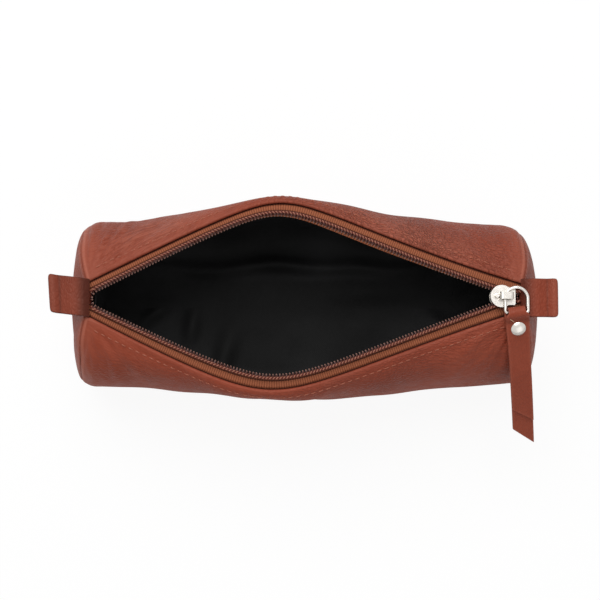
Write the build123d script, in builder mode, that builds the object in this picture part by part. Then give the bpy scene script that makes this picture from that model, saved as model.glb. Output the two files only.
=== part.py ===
from build123d import *
from math import atan2, cos, degrees, radians, sin
import os

# Toiletry pouch: a lined leather barrel, its zip pulled open, resting on a soft flat base.
# Millimetres. Origin at the middle of the base, +X towards the end where the slider is,
# +Y towards the back, +Z up.

# Barrel: stations along X, widest at the bow of the mouth
seam_x = 103.5           # end seams, at the base
seam_lean = 7.5          # degrees that the end seams lean in towards the top
bow_x = -14.7            # where the open mouth is widest
left_x = -58.0
right_x = 46.0
bulge_z = 33.0           # height of the widest line of the wall
foot_press = 0.1         # the underside is pressed flat by this much where it stands

# Layers, measured inwards from the leather's outer face
leather = 1.2
tape_top = 1.25
tape_under = 1.75
stiffener_top = 1.3
stiffener_under = 2.0
lining_top = 2.1
lining_under = 2.5

# Zip: plan of the inner edges of the coils, mirrored for the back
zip_left_x = -93.0
zip_left_half = 1.2
zip_peak_half = 38.4     # corner of the plan before it is rounded
zip_peak_radius = 60.0
zip_meet_x = 87.0        # the coils meet inside the slider
zip_gap_half = 0.25
coil_width = 2.6
coil_rise = 0.6          # coil above the leather's face
tape_edge = 0.8
tape_width = 12.6
tape_low_z = 56.0        # the sewn-in tape goes no lower than this inside the wall
hem_offset = 7.0         # leather hem, from the inner edge of the coil
stitch_offset = 10.4
stitch_length = 2.5
stitch_pitch = 3.3
stitch_width = 0.6
stitch_rise = 0.25
lining_edge = 4.5

# End panels
dome_rises = (0.0, 2.6, 4.5, 5.6)
dome_insets = (0.0, 2.3, 7.5, 17.0)

# Tabs
tab_root_x = 94.9
tab_ends = {-1: 110.0, 1: 108.5}
tab_width = 16.6
tab_z = 70.2
tab_droop = 0.8
tab_fold_radius = 2.2
tab_root_radius = 1.15
tab_skin = 1.0

# Slider
zip_z = 69.5             # leather level at the slider
slider_nose_x = 83.8
slider_nose_radius = 4.75
slider_tail_x = 89.6
slider_tail_half = 3.8
plate = 1.1
plate_over = 0.9         # underside of the upper plate, above zip_z
plate_under = 3.0        # top of the lower plate, below zip_z
crown_height = 4.4
crown_width = 3.0

# Pull
wire_radius = 0.75
ring_left_x = 85.1
ring_right_x = 94.7
ring_arc_y = -1.2
bar_y = -7.2
ring_corner = 1.2
strap_yaw = 8.0
strap_slope = 29.5
strap_width = 9.7
strap_neck = 6.8
strap_skin = 1.15
strap_gap = 0.2
strap_straight = 15.0
strap_bend_radius = 400.0
upper_reach = 42.8       # middle of each slanted end, in plan from the ring's bar
upper_slant = 4.0
lower_reach = 51.8
lower_slant = 6.0
leaf_length = 72.0       # uncut
fold_inner = 1.45
shoulder_reach = 2.3     # the strap is at full width from here on
neck_room = 4.0
rivet_s = 6.9
rivet_radius = 3.15
rivet_hole = 1.2

plate_top = zip_z + plate_over + plate
ring_z = plate_top + wire_radius + 0.35
ring_mid_x = (ring_left_x + ring_right_x) / 2

os.makedirs("parts", exist_ok=True)


def finish(piece, label):
    piece.part.label = label
    export_step(piece.part, f"parts/{label}.step")


# Stations: plane, base half-width, bulge half-width, shoulder (y, z), crown height
def end_plane(side):
    lean = radians(seam_lean)
    return Plane(origin=(side * seam_x, 0, 0), x_dir=(0, 1, 0),
                 z_dir=(cos(lean), 0, side * sin(lean)))


def cross_plane(x):
    return Plane(origin=(x, 0, 0), x_dir=(0, 1, 0), z_dir=(1, 0, 0))


end_slant = 1 / cos(radians(seam_lean))
stations = [
    (end_plane(-1), 18.0, 36.4, (25.7, 58.5 * end_slant), 68.9 * end_slant),
    (cross_plane(left_x), 25.0, 40.2, (34.5, 62.0), 70.3),
    (cross_plane(bow_x), 29.0, 45.0, (41.5, 65.5), 71.0),
    (cross_plane(right_x), 26.0, 41.0, (35.0, 62.3), 70.4),
    (end_plane(1), 18.0, 35.8, (25.3, 58.3 * end_slant), 68.8 * end_slant),
]


# Closed outline of the barrel at one station, drawn in by an inset
def outline(station, inset):
    plane, base_half, bulge_half, shoulder, crown = station
    foot = (base_half - 0.5 * inset, inset - foot_press)
    side = (bulge_half - inset, bulge_z)
    top = (shoulder[0] - 0.8 * inset, shoulder[1] - 0.6 * inset)
    with BuildSketch(plane) as section:
        with BuildLine():
            Line((-foot[0], foot[1]), foot)
            TangentArc(side, foot, tangent=(0, -1))
            TangentArc(side, top, tangent=(0, 1))
            ThreePointArc(top, (0, crown - inset), (-top[0], top[1]))
            TangentArc((-side[0], side[1]), (-top[0], top[1]), tangent=(0, 1))
            TangentArc((-side[0], side[1]), (-foot[0], foot[1]), tangent=(0, -1))
        make_face()
    return section.sketch


def barrel(inset):
    with BuildPart() as solid:
        loft([outline(station, inset) for station in stations])
        if inset < foot_press:
            split(bisect_by=Plane.XY)
    return solid.part


face = barrel(0)


# Lens-shaped plan of the mouth, moved outwards from the coils' inner edges
def mouth_edge(offset, side):
    left_slope = (zip_peak_half - zip_left_half) / (bow_x - zip_left_x)
    right_slope = zip_peak_half / (zip_meet_x - bow_x)
    lift = offset / cos(0.5 * (left_slope + right_slope))
    return [(zip_left_x - 20, side * (zip_left_half + 0.9 * lift)),
            (zip_left_x, side * (zip_left_half + 0.9 * lift)),
            (bow_x, side * (zip_peak_half + lift)),
            (zip_meet_x, side * (zip_gap_half + 0.95 * lift)),
            (zip_meet_x + 20, side * (zip_gap_half + 0.95 * lift))]


# Plan band of one lip, between two offsets, within the zip's length
def lip_band(near, far, side, end_x):
    with BuildSketch(Plane.XY.offset(tape_low_z)) as band:
        with BuildLine():
            inner = FilletPolyline(*mouth_edge(near, side)[1:4],
                                   radius=zip_peak_radius + near)
            outer = FilletPolyline(*mouth_edge(far, side)[1:4],
                                   radius=zip_peak_radius + far)
            Line(inner @ 0, outer @ 0)
            right_in = (end_x, (inner @ 1).Y)
            right_out = (end_x, (outer @ 1).Y)
            Line(inner @ 1, right_in)
            Line(right_in, right_out)
            Line(right_out, outer @ 1)
        make_face()
    with BuildPart() as prism:
        extrude(band.sketch, amount=40)
    return prism.part


# The whole mouth up to an offset, cut through the top
def mouth_cutter(offset):
    with BuildSketch(Plane.XY.offset(tape_low_z - 1)) as lens:
        with BuildLine():
            front = FilletPolyline(*mouth_edge(offset, -1), radius=zip_peak_radius + offset)
            back = FilletPolyline(*mouth_edge(offset, 1), radius=zip_peak_radius + offset)
            Line(front @ 0, back @ 0)
            Line(front @ 1, back @ 1)
        make_face()
    with BuildPart() as prism:
        extrude(lens.sketch, amount=40)
    return prism.part


# Barrel layers with the mouth open
layers = {
    "body_panel": (0.0, leather, hem_offset),
    "body_interlining": (stiffener_top, stiffener_under, tape_width + 0.8),
    "body_lining": (lining_top, lining_under, lining_edge),
}
for name, (outside, inside, edge) in layers.items():
    with BuildPart() as layer:
        add(barrel(outside))
        add(barrel(inside), mode=Mode.SUBTRACT)
        add(mouth_cutter(edge), mode=Mode.SUBTRACT)
    finish(layer, name)

# Zip tapes, coils and topstitching, each cut from a layer of the barrel by its plan
for side, where in ((-1, "front"), (1, "back")):
    with BuildPart() as tape:
        add(barrel(tape_top))
        add(barrel(tape_under), mode=Mode.SUBTRACT)
        add(lip_band(tape_edge, tape_width, side, zip_meet_x + 6), mode=Mode.INTERSECT)
    finish(tape, f"zip_tape_{where}")

    with BuildPart() as coil:
        add(barrel(-coil_rise))
        add(barrel(tape_top - 0.05), mode=Mode.SUBTRACT)
        add(lip_band(0, coil_width, side, zip_meet_x + 5), mode=Mode.INTERSECT)
    finish(coil, f"zip_coil_{where}")

    half = stitch_width / 2
    row = FilletPolyline(*mouth_edge(stitch_offset, side)[1:4],
                         radius=zip_peak_radius + stitch_offset, mode=Mode.PRIVATE)
    count = int(row.length / stitch_pitch)
    with BuildPart() as dashes:
        with BuildSketch():
            for i in range(1, count):
                along = row % (i / count)
                turn = degrees(atan2(along.Y, along.X))
                with Locations(Location(row @ (i / count), turn)):
                    Rectangle(stitch_length, 4 * stitch_width)
        extrude(amount=90)
    with BuildPart() as stitches:
        add(barrel(-stitch_rise))
        add(face, mode=Mode.SUBTRACT)
        add(lip_band(stitch_offset - half, stitch_offset + half, side, zip_meet_x + 5),
            mode=Mode.INTERSECT)
        add(dashes.part, mode=Mode.INTERSECT)
    finish(stitches, f"topstitch_{where}")

# Domed end panels, their lining discs and seam threads
for side, where in ((-1, "left"), (1, "right")):
    station = stations[0] if side < 0 else stations[-1]

    def moved(rise, inset):
        plane = station[0].offset(side * rise)
        return outline((plane,) + station[1:], inset)

    with BuildPart() as panel:
        loft([moved(rise, inset) for rise, inset in zip(dome_rises, dome_insets)])
        hollow = [moved(max(rise - leather, 0), inset + leather)
                  for rise, inset in zip(dome_rises, dome_insets)]
        loft(hollow, mode=Mode.SUBTRACT)
        split(bisect_by=Plane.XY)
    finish(panel, f"end_panel_{where}")

    outward = station[0].z_dir * side
    with BuildPart() as disc:
        extrude(moved(0.1, lining_under + 0.1), amount=0.4, dir=outward)
    finish(disc, f"end_lining_{where}")

    with BuildPart() as thread:
        extrude(moved(0.05, 2.05), amount=0.4, dir=outward)
        extrude(moved(0, 2.5), amount=0.6, dir=outward, mode=Mode.SUBTRACT)
    finish(thread, f"seam_thread_{where}")

    # Tab: a strip folded to a narrow loop, its leaves meeting at the sewn root
    with BuildPart() as tab:
        with BuildSketch(Plane.XZ.offset(-tab_width / 2)):
            for shrink, how in ((0, Mode.ADD), (tab_skin, Mode.SUBTRACT)):
                with BuildSketch(mode=Mode.PRIVATE) as loop:
                    with Locations((side * (tab_ends[side] - tab_fold_radius), tab_z - tab_droop)):
                        Circle(tab_fold_radius - shrink)
                    with Locations((side * (tab_root_x + tab_root_radius), tab_z)):
                        Circle(tab_root_radius - shrink)
                    make_hull()
                add(loop.sketch, mode=how)
        extrude(amount=tab_width)
    finish(tab, f"tab_{where}")

# Slider: two plates joined by a wedge that parts the coils, with flanges over the tape
with BuildPart() as slider_body:
    for low_z in (zip_z + plate_over, zip_z - plate_under - plate):
        with BuildSketch(Plane.XY.offset(low_z)) as shape:
            with Locations((slider_nose_x, 0)):
                Circle(slider_nose_radius)
            with Locations(((slider_nose_x + slider_tail_x) / 2, 0)):
                Rectangle(slider_tail_x - slider_nose_x, 2 * slider_tail_half)
            fillet(shape.vertices().group_by(Axis.X)[-1], 0.8)
        extrude(amount=plate)
    with BuildSketch(Plane.XY.offset(zip_z - plate_under)):
        Polygon((79.6, 0), (81.2, -1.3), (83.6, -0.35), (83.6, 0.35), (81.2, 1.3), align=None)
    extrude(amount=plate_under + plate_over)
    with BuildSketch(Plane.XY.offset(zip_z - 0.6)):
        for y in (-1, 1):
            with Locations((88.3, y * (slider_tail_half - 0.22))):
                Rectangle(2.4, 0.44)
    extrude(amount=plate_over + 0.6)
    with BuildSketch(Plane.XY.offset(zip_z)):
        with Locations((83.95, 0)):
            Rectangle(0.7, 1.3)
    extrude(amount=plate_over + plate, mode=Mode.SUBTRACT)
finish(slider_body, "slider_body")

# Crown: an arch along X over the ring's wire, with a small round crimp at its open end
arch_left = 82.6
arch_right = 88.4
tunnel_left = 83.6
tunnel_right = 87.4
tunnel_height = 3.5
with BuildPart() as slider_crown:
    with BuildSketch(Plane.XZ.offset(-crown_width / 2)) as arch:
        with Locations(((arch_left + arch_right) / 2, plate_top + crown_height / 2)):
            Rectangle(arch_right - arch_left, crown_height)
        fillet(arch.vertices().group_by(Axis.Y)[-1], 1.2)
        with Locations(((tunnel_left + tunnel_right) / 2, plate_top + tunnel_height / 2)):
            Rectangle(tunnel_right - tunnel_left, tunnel_height, mode=Mode.SUBTRACT)
    extrude(amount=crown_width)
    with BuildSketch(Plane.XY.offset(plate_top)):
        with Locations((81.7, 0)):
            Circle(1.2)
    extrude(amount=1.9, taper=12)
finish(slider_crown, "slider_crown")

# Pawl: a leaf under the crown's roof and a pin down through the upper plate
with BuildPart() as lock_pawl:
    with BuildSketch(Plane.XZ.offset(-0.5)):
        with Locations((85.4, plate_top + tunnel_height - 0.2)):
            Rectangle(3.4, 0.3)
        with Locations((83.85, plate_top + 0.85)):
            Rectangle(0.3, 5.0)
    extrude(amount=1.0)
finish(lock_pawl, "lock_pawl")

# Ring: wire bent to a D, through the crown and back along the bar that holds the strap
with BuildPart() as pull_ring:
    radius = (ring_right_x - ring_left_x) / 2
    with BuildLine(Plane.XY.offset(ring_z)) as bend:
        left = Line((ring_left_x, ring_arc_y), (ring_left_x, bar_y + ring_corner))
        corner = TangentArc(left @ 1, (ring_left_x + ring_corner, bar_y), tangent=left % 1)
        bar = Line(corner @ 1, (ring_right_x - ring_corner, bar_y))
        other = TangentArc(bar @ 1, (ring_right_x, bar_y + ring_corner), tangent=bar % 1)
        right = Line(other @ 1, (ring_right_x, ring_arc_y))
        over = TangentArc(right @ 1, (ring_mid_x, ring_arc_y + radius), tangent=right % 1)
        TangentArc(over @ 1, left @ 0, tangent=over % 1)
    with BuildSketch(Plane(origin=left @ 0, z_dir=left % 0)):
        Circle(wire_radius)
    sweep()
finish(pull_ring, "pull_ring")

# Strap: side view in the upright plane that it hangs in, turned a little from -Y
yaw = radians(strap_yaw)
strap_plane = Plane(origin=(ring_mid_x, bar_y, ring_z), x_dir=(sin(yaw), -cos(yaw), 0),
                    z_dir=(-cos(yaw), -sin(yaw), 0))
slope = radians(strap_slope)
down = Vector(cos(slope), -sin(slope))
square = Vector(sin(slope), cos(slope))
leaf_mid = (strap_gap + strap_skin) / 2


# Middle line of one leaf: straight over the shoulder, then bending down slightly
def leaf_line(height):
    straight = Line(square * height, square * height + down * strap_straight)
    turn = (leaf_length - strap_straight) / strap_bend_radius
    reach = strap_bend_radius * sin(turn)
    drop = strap_bend_radius * (1 - cos(turn))
    TangentArc(straight @ 1, straight @ 1 + down * reach - square * drop,
               tangent=straight % 1)


# The plan beyond a leaf's slanted end, longer on the +X side
def tip_cutter(reach, slant):
    with BuildPart() as prism:
        with BuildSketch(plan_plane):
            Polygon((reach + slant / 2, -strap_width), (reach - slant / 2, strap_width),
                    (2 * leaf_length, strap_width), (2 * leaf_length, -strap_width),
                    align=None)
        extrude(amount=leaf_length, both=True)
    return prism.part


plan_plane = Plane(origin=strap_plane.origin, x_dir=strap_plane.x_dir, z_dir=(0, 0, 1))
with BuildPart() as pull_strap:
    for height, reach, slant in ((leaf_mid, upper_reach, upper_slant),
                                 (-leaf_mid, lower_reach, lower_slant)):
        with BuildSketch(strap_plane):
            with BuildLine():
                leaf_line(height)
            trace(line_width=strap_skin)
            Circle(fold_inner + strap_skin)
            Circle(fold_inner, mode=Mode.SUBTRACT)
        extrude(amount=strap_width / 2, both=True)
        add(tip_cutter(reach, slant), mode=Mode.SUBTRACT)
    # Neck between the ring's legs
    with BuildSketch(plan_plane.offset(-neck_room)):
        for y in (-1, 1):
            with Locations((shoulder_reach - neck_room, y * (strap_neck / 2 + neck_room))):
                Rectangle(2 * neck_room, 2 * neck_room)
    extrude(amount=2 * neck_room, mode=Mode.SUBTRACT)
    rivet_at = Plane(origin=strap_plane.from_local_coords(down * rivet_s),
                     x_dir=strap_plane.z_dir, z_dir=strap_plane.from_local_coords(
                         square) - strap_plane.origin)
    with BuildSketch(rivet_at.offset(-4)):
        Circle(rivet_hole)
    extrude(amount=8, mode=Mode.SUBTRACT)
finish(pull_strap, "pull_strap")

# Rivet: domed cap above, shank and flange below
half_strap = strap_gap / 2 + strap_skin
head_under = half_strap + 0.05
head_top = head_under + 1.6
with BuildPart() as rivet_cap:
    with BuildSketch(Plane(origin=rivet_at.origin, x_dir=rivet_at.x_dir,
                           z_dir=-rivet_at.y_dir)) as head:
        with BuildLine():
            Polyline((0, head_top), (0, head_under), (rivet_radius, head_under),
                     (rivet_radius, head_under + 0.4))
            TangentArc((0, head_top), (rivet_radius, head_under + 0.4), tangent=(1, 0))
        make_face()
    revolve(axis=Axis(rivet_at.origin, rivet_at.z_dir))
finish(rivet_cap, "rivet_cap")

with BuildPart() as rivet_post:
    with BuildSketch(rivet_at.offset(-half_strap - 0.55)):
        Circle(rivet_radius - 0.35)
    extrude(amount=0.5)
    with BuildSketch(rivet_at.offset(-half_strap - 0.1)):
        Circle(rivet_hole - 0.05)
    extrude(amount=2 * half_strap + 0.1)
finish(rivet_post, "rivet_post")
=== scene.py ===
import math

import bmesh
import bpy
import numpy as np
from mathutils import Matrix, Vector


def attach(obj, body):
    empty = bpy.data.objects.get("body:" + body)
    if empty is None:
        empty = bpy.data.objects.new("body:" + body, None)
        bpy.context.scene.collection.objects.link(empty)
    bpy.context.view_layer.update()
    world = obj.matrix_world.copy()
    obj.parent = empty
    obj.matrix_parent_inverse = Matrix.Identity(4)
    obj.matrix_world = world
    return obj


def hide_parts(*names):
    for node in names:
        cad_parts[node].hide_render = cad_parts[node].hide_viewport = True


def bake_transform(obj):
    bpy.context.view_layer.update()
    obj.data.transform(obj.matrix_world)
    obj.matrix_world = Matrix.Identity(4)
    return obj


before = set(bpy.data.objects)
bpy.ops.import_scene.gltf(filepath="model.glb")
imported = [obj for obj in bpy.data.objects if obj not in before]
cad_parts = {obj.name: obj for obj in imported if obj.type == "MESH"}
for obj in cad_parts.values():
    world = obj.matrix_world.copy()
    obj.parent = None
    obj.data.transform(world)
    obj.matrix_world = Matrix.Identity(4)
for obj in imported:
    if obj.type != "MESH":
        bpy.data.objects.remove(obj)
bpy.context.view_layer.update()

print("frame loaded")


# Shader maths: a Wire is one socket, and sums of Wires add Math nodes
class Wire:
    def __init__(self, paint, socket):
        self.paint, self.socket = paint, socket

    def maths(self, operation, first, second):
        return self.paint.add("ShaderNodeMath", {"operation": operation}, {0: first, 1: second})

    def __add__(self, other):
        return self.maths("ADD", self, other)

    def __radd__(self, other):
        return self.maths("ADD", other, self)

    def __sub__(self, other):
        return self.maths("SUBTRACT", self, other)

    def __rsub__(self, other):
        return self.maths("SUBTRACT", other, self)

    def __mul__(self, other):
        return self.maths("MULTIPLY", self, other)

    def __rmul__(self, other):
        return self.maths("MULTIPLY", other, self)


# The nodes of a material or of the world: each comes from add(), its settings first and then its sockets
class Paint:
    def __init__(self, owner):
        owner.use_nodes = True
        self.owner, self.tree = owner, owner.node_tree
        self.tree.nodes.clear()

    def add(self, kind, settings=None, sockets=None, out=0):
        node = self.tree.nodes.new(kind)
        for key, value in (settings or {}).items():
            setattr(node, key, value)
        for key, value in (sockets or {}).items():
            target = node.inputs[key]
            if isinstance(value, Wire):
                self.tree.links.new(value.socket, target)
            elif target.type == "RGBA":
                target.default_value = (*value, 1)
            else:
                target.default_value = value
        return Wire(self, node.outputs[out]) if node.outputs else None

    def mark(self, name):      # a value that the mesh carries at each point
        return self.add("ShaderNodeAttribute", {"attribute_name": name}, out="Fac")

    def place(self):
        return self.add("ShaderNodeTexCoord", out="Object")

    def noise(self, where, scale, detail):
        return self.add("ShaderNodeTexNoise", {}, {"Vector": where, "Scale": scale, "Detail": detail})

    def wave(self, where, scale, bend):
        return self.add("ShaderNodeTexWave", {"bands_direction": "DIAGONAL"},
                        {"Vector": where, "Scale": scale, "Distortion": bend})

    def sine(self, value):
        return self.add("ShaderNodeMath", {"operation": "SINE"}, {0: value})

    def mix(self, share, first, second):
        return self.add("ShaderNodeMix", {"data_type": "RGBA"}, {0: share, 6: first, 7: second}, 2)

    def step(self, value, low, high):
        return self.add("ShaderNodeMapRange", {"interpolation_type": "SMOOTHSTEP"},
                        {0: value, 1: low, 2: high})

    def bump(self, height, depth):
        return self.add("ShaderNodeBump", {}, {"Height": height, "Distance": depth, "Strength": 1.0})

    def finish(self, sockets):
        shader = self.add("ShaderNodeBsdfPrincipled", {}, sockets)
        self.add("ShaderNodeOutputMaterial", {}, {"Surface": shader})
        return self.owner


def newPaint(name):
    return Paint(bpy.data.materials.new(name))


def tone(*screen):      # a screen colour, 0 to 255, as shaders take it
    return tuple(((c / 255 + 0.055) / 1.055) ** 2.4 if c > 10 else c / 255 / 12.92 for c in screen)


# Small helpers for shapes, all in millimetres
def ease(value):
    value = np.clip(value, 0, 1)
    return value * value * (3 - 2 * value)


def hump(value, middle, width):
    return np.exp(-((value - middle) / width) ** 2)


def ripple(u, v, size, seed):      # soft unevenness from seven waves, about -1.5 to 1.5
    dice = np.random.RandomState(seed)
    total, waves = 0, 7
    for _ in range(waves):
        turn = dice.uniform(0, math.tau)
        length = size * dice.uniform(0.65, 1.6)
        shift = dice.uniform(0, math.tau)
        total = total + np.sin(math.tau * (u * math.cos(turn) + v * math.sin(turn)) / length + shift)
    return total * math.sqrt(2 / waves)


def unit(vectors):
    return vectors / np.maximum(np.linalg.norm(vectors, axis=-1, keepdims=True), 1e-9)


def runLengths(path):      # the distance along a path at each of its points
    return np.concatenate([[0], np.cumsum(np.linalg.norm(np.diff(path, axis=0), axis=1))])


def pathAt(s, lengths, path):
    return np.stack([np.interp(s, lengths, path[:, k]) for k in range(path.shape[1])], -1)


def smoothPath(points, count):      # an even path through the points, rounded at each of them
    lengths = runLengths(points)
    slopes = np.stack([np.gradient(points[:, k], lengths) for k in range(points.shape[1])], -1)
    s = np.linspace(0, lengths[-1], count)
    i = np.clip(np.searchsorted(lengths, s, "right") - 1, 0, len(points) - 2)
    gap = (lengths[i + 1] - lengths[i])[:, None]
    t = (s[:, None] - lengths[i][:, None]) / gap
    return ((2 * t ** 3 - 3 * t ** 2 + 1) * points[i] + (t ** 3 - 2 * t ** 2 + t) * gap * slopes[i]
            + (3 * t ** 2 - 2 * t ** 3) * points[i + 1] + (t ** 3 - t ** 2) * gap * slopes[i + 1])


def curve(t, *points):      # a cubic arc through four pairs
    weights = ((1 - t) ** 3, 3 * t * (1 - t) ** 2, 3 * t * t * (1 - t), t ** 3)
    return [sum(w * p[k] for w, p in zip(weights, points)) for k in (0, 1)]


def gridNormals(grid, inward):      # inward is a point on the inner side of each grid point
    normals = unit(np.cross(np.gradient(grid, axis=0), np.gradient(grid, axis=1)))
    return normals * np.sign((normals * (grid - inward)).sum(-1, keepdims=True))


def makePiece(name, points, faces, material, marks=None, sharp=40):
    mesh = bpy.data.meshes.new(name)
    mesh.from_pydata((np.asarray(points, float).reshape(-1, 3) * 0.001).tolist(), [], faces)
    for mark, values in (marks or {}).items():
        attribute = mesh.attributes.new(mark, "FLOAT", "POINT")
        attribute.data.foreach_set("value", np.asarray(values, np.float32).ravel())
    work = bmesh.new()
    work.from_mesh(mesh)
    bmesh.ops.recalc_face_normals(work, faces=work.faces)
    work.to_mesh(mesh)
    work.free()
    mesh.polygons.foreach_set("use_smooth", [True] * len(mesh.polygons))
    mesh.set_sharp_from_angle(angle=math.radians(sharp))
    mesh.materials.append(material)
    piece = bpy.data.objects.new(name, mesh)
    bpy.context.scene.collection.objects.link(piece)
    return piece


def ringFaces(rows, size, first=0, caps=True, closed=False):      # caps close both ends, closed joins them
    i, j = np.arange(rows - 1 + closed)[:, None], np.arange(size)[None, :]
    k, after = (j + 1) % size, (i + 1) % rows
    faces = np.stack([i * size + j, i * size + k, after * size + k, after * size + j], -1) + first
    faces = faces.reshape(-1, 4).tolist()
    for start in ((first, first + (rows - 1) * size) if caps else ()):
        for a in range((size - 1) // 2):
            corners = [a, a + 1, size - 2 - a, size - 1 - a]
            faces.append([start + c for c in dict.fromkeys(corners)])
    return faces


def sheetRings(outer, inner, rim=4):      # each row: outer face, a rounded rim, and the inner face back
    middle, half = (outer[:, -1] + inner[:, -1]) / 2, (outer[:, -1] - inner[:, -1]) / 2
    ahead = unit(outer[:, -1] - outer[:, -2])
    size = np.linalg.norm(half, axis=1, keepdims=True)
    turns = np.linspace(0, math.pi, rim + 2)[1:-1]
    edge = [middle + half * math.cos(a) + ahead * size * math.sin(a) for a in turns]
    return np.concatenate([outer, np.stack(edge, 1), inner[:, ::-1]], 1)


def sheetMark(field, rim, hidden=1.0):      # a mark for those points; hidden is the inner face's share
    return np.concatenate([field, np.repeat(field[:, -1:], rim, 1), field[:, ::-1] * hidden], 1)


def sheetMarks(fields, rim):
    return {mark: sheetMark(field, rim) for mark, field in fields.items()}


def makeSheet(name, rings, material, marks, sharp):
    return makePiece(name, rings, ringFaces(len(rings), rings.shape[1]), material, marks, sharp)


def tubeRings(path, radius, sides=6, closed=False):      # rings along a path that don't twist
    ahead = unit(np.roll(path, -1, 0) - np.roll(path, 1, 0)) if closed else unit(np.gradient(path, axis=0))
    side = np.cross(ahead[0], (0, 0, 1) if abs(ahead[0][2]) < 0.9 else (1, 0, 0))
    rings, turns = [], np.arange(sides) * math.tau / sides
    for point, direction in zip(path, ahead):
        side = side - direction * side.dot(direction)
        side = side / np.linalg.norm(side)
        up = np.cross(direction, side)
        rings.append(point + radius * (np.cos(turns)[:, None] * side + np.sin(turns)[:, None] * up))
    return np.array(rings)


def joinRings(groups):      # several tubes as one mesh's points and faces
    points, faces, first = [], [], 0
    for rings in groups:
        faces += ringFaces(len(rings), rings.shape[1], first)
        points.append(rings.reshape(-1, 3))
        first += rings.shape[0] * rings.shape[1]
    return np.concatenate(points), faces


# Plan of the open mouth: each line is a distance from y = 0. Measured from x = -90 and x = 90, its numbers
# are the left place and slope, the right place, slope and curve, and how round the bow between them is
mouth = {
    "coil": {1: (2.15, 0.514, -0.25, 0.333, 0.0009, 16.1), -1: (4.6, 0.497, -0.25, 0.365, 0.0004, 18.5)},
    "hem": {1: (8.45, 0.508, 6.97, 0.3204, 0.001, 16.9), -1: (11.45, 0.5377, 8.09, 0.3334, 0.0008, 24.7)},
    "from": 90.0, "least": {"coil": 0.12, "hem": 4.5}, "soften": 0.4,
    "shut": {"coil": (0.1, 5.0), "hem": (6.9, 12.0)},      # place when closed, and how far in the ends reach
    "hemRoll": 1.35,                      # the leather's flat face ends this far outside the hem line
    "hemRange": 33.2,                     # how far the hem opens in the middle
    "end": 92.3,                          # the zip doesn't move beyond this distance from the middle
    "travel": 33.0,                       # the closing weights are given as shares of this travel
    "cornerX": -89.0, "cornerY": -1.15,   # where the coils turn round the left end
}
sideName = {-1: "front", 1: "back"}


def lipLine(x, side, line):
    leftPlace, leftSlope, rightPlace, rightSlope, rightCurve, bow = mouth[line][side]
    away = mouth["from"] - x
    left = leftPlace + leftSlope * (x + mouth["from"])
    right = rightPlace + rightSlope * away + rightCurve * away ** 2
    reach = (left + right - np.sqrt((left - right) ** 2 + bow ** 2)) / 2
    least, soften = mouth["least"][line], mouth["soften"]
    return least + soften * np.logaddexp(0, (reach - least) / soften)


def shutLine(x, side, line):      # the same line once the zip is closed; its ends stay where they are
    rest, fade = mouth["shut"][line]
    end = mouth["end"]
    left = (lipLine(-end, side, line) - rest) * np.exp(-np.maximum(x + end, 0) / fade)
    right = (lipLine(end, side, line) - rest) * np.exp(-np.maximum(end - x, 0) / fade)
    return rest + left + right


def openness(hem):      # 0 where the lips meet, 1 in the middle of the open mouth
    return np.clip((hem - mouth["shut"]["hem"][0]) / mouth["hemRange"], 0, 1.1)


# The leather's section: base, wall and shoulder, from the middle of the base (t = 0) to the hem (t = 3)
section = {
    "grows": {      # value where the lips meet, and what the open mouth adds
        "foot": (18.0, 11.0), "hemZ": (68.6, -1.6), "hemSlope": (11.0, 14.0),
        "hemPull": (17.0, -11.0), "wallPull": (20.0, 2.0),
    },
    "widestZ": 33.0, "footPull": 17.0,
    # least breadth and its taper along x, then the bulge, its middle and its length
    "breadth": {1: (36.0, 0.006, 8.6, -6.0, 46.0), -1: (36.2, 0.01, 7.4, 0.0, 58.0)},
}
core = np.array([0, 0, section["widestZ"]])      # the barrel's own middle line runs through this point


def wallPoint(x, t, side, inset=0.0, shut=False):      # distance from y = 0, and height
    hem = (shutLine if shut else lipLine)(x, side, "hem") + mouth["hemRoll"]
    share = openness(hem)
    sized = {key: least + more * share for key, (least, more) in section["grows"].items()}
    least, taper, bulge, middle, length = section["breadth"][side]
    wide = least - taper * x + bulge * hump(x, middle, length) - inset
    foot, low = sized["foot"] - 0.5 * inset, inset + 0 * x
    level = section["widestZ"] + 0 * x
    slope, pull = np.radians(sized["hemSlope"]), sized["hemPull"]
    hemY, hemZ = hem - 0.2 * inset, sized["hemZ"] - inset
    wall = curve(np.clip(t - 1, 0, 1), (foot, low), (foot + 0.8 * (wide - foot), low),
                 (wide, level - section["footPull"]), (wide, level))
    shoulder = curve(np.clip(t - 2, 0, 1), (wide, level), (wide, section["widestZ"] + sized["wallPull"]),
                     (hemY + pull * np.cos(slope), hemZ - pull * np.sin(slope)), (hemY, hemZ))
    y = np.where(t < 1, foot * t, np.where(t < 2, wall[0], shoulder[0]))
    z = np.where(t < 1, inset, np.where(t < 2, wall[1], shoulder[1]))
    return y, z


# End seams: they lean in towards the top, where the tabs pull them in a little more
seams = {
    "base": 103.5, "lean": 0.1, "pull": 4.2, "pullWidth": 12.0, "pullFrom": (48.0, 18.0),
    "corner": {(-1, 1): (1.8, 23, 15), (-1, -1): (0.0, 23, 15), (1, 1): (6.0, 4, 33), (1, -1): (0.8, 16, 22)},
    "cornerPower": 1.3, "cornerTop": (0.4, 38.0, 14.0), "cornerFoot": 20.0,
    "turnIn": (3.0, 7.0), "turnPower": 2.4,      # how far the wall turns in at a seam, and over which length
    "turnHem": (0.85, 2.2, 0.8),                 # what it loses near the hem: share, from which t, over what
    "rise": 3.0, "risePower": 3.2,               # of the domed ends
    "edgeRise": (1.2, 1.8),                      # and beside the seam: height and width
}


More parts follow.
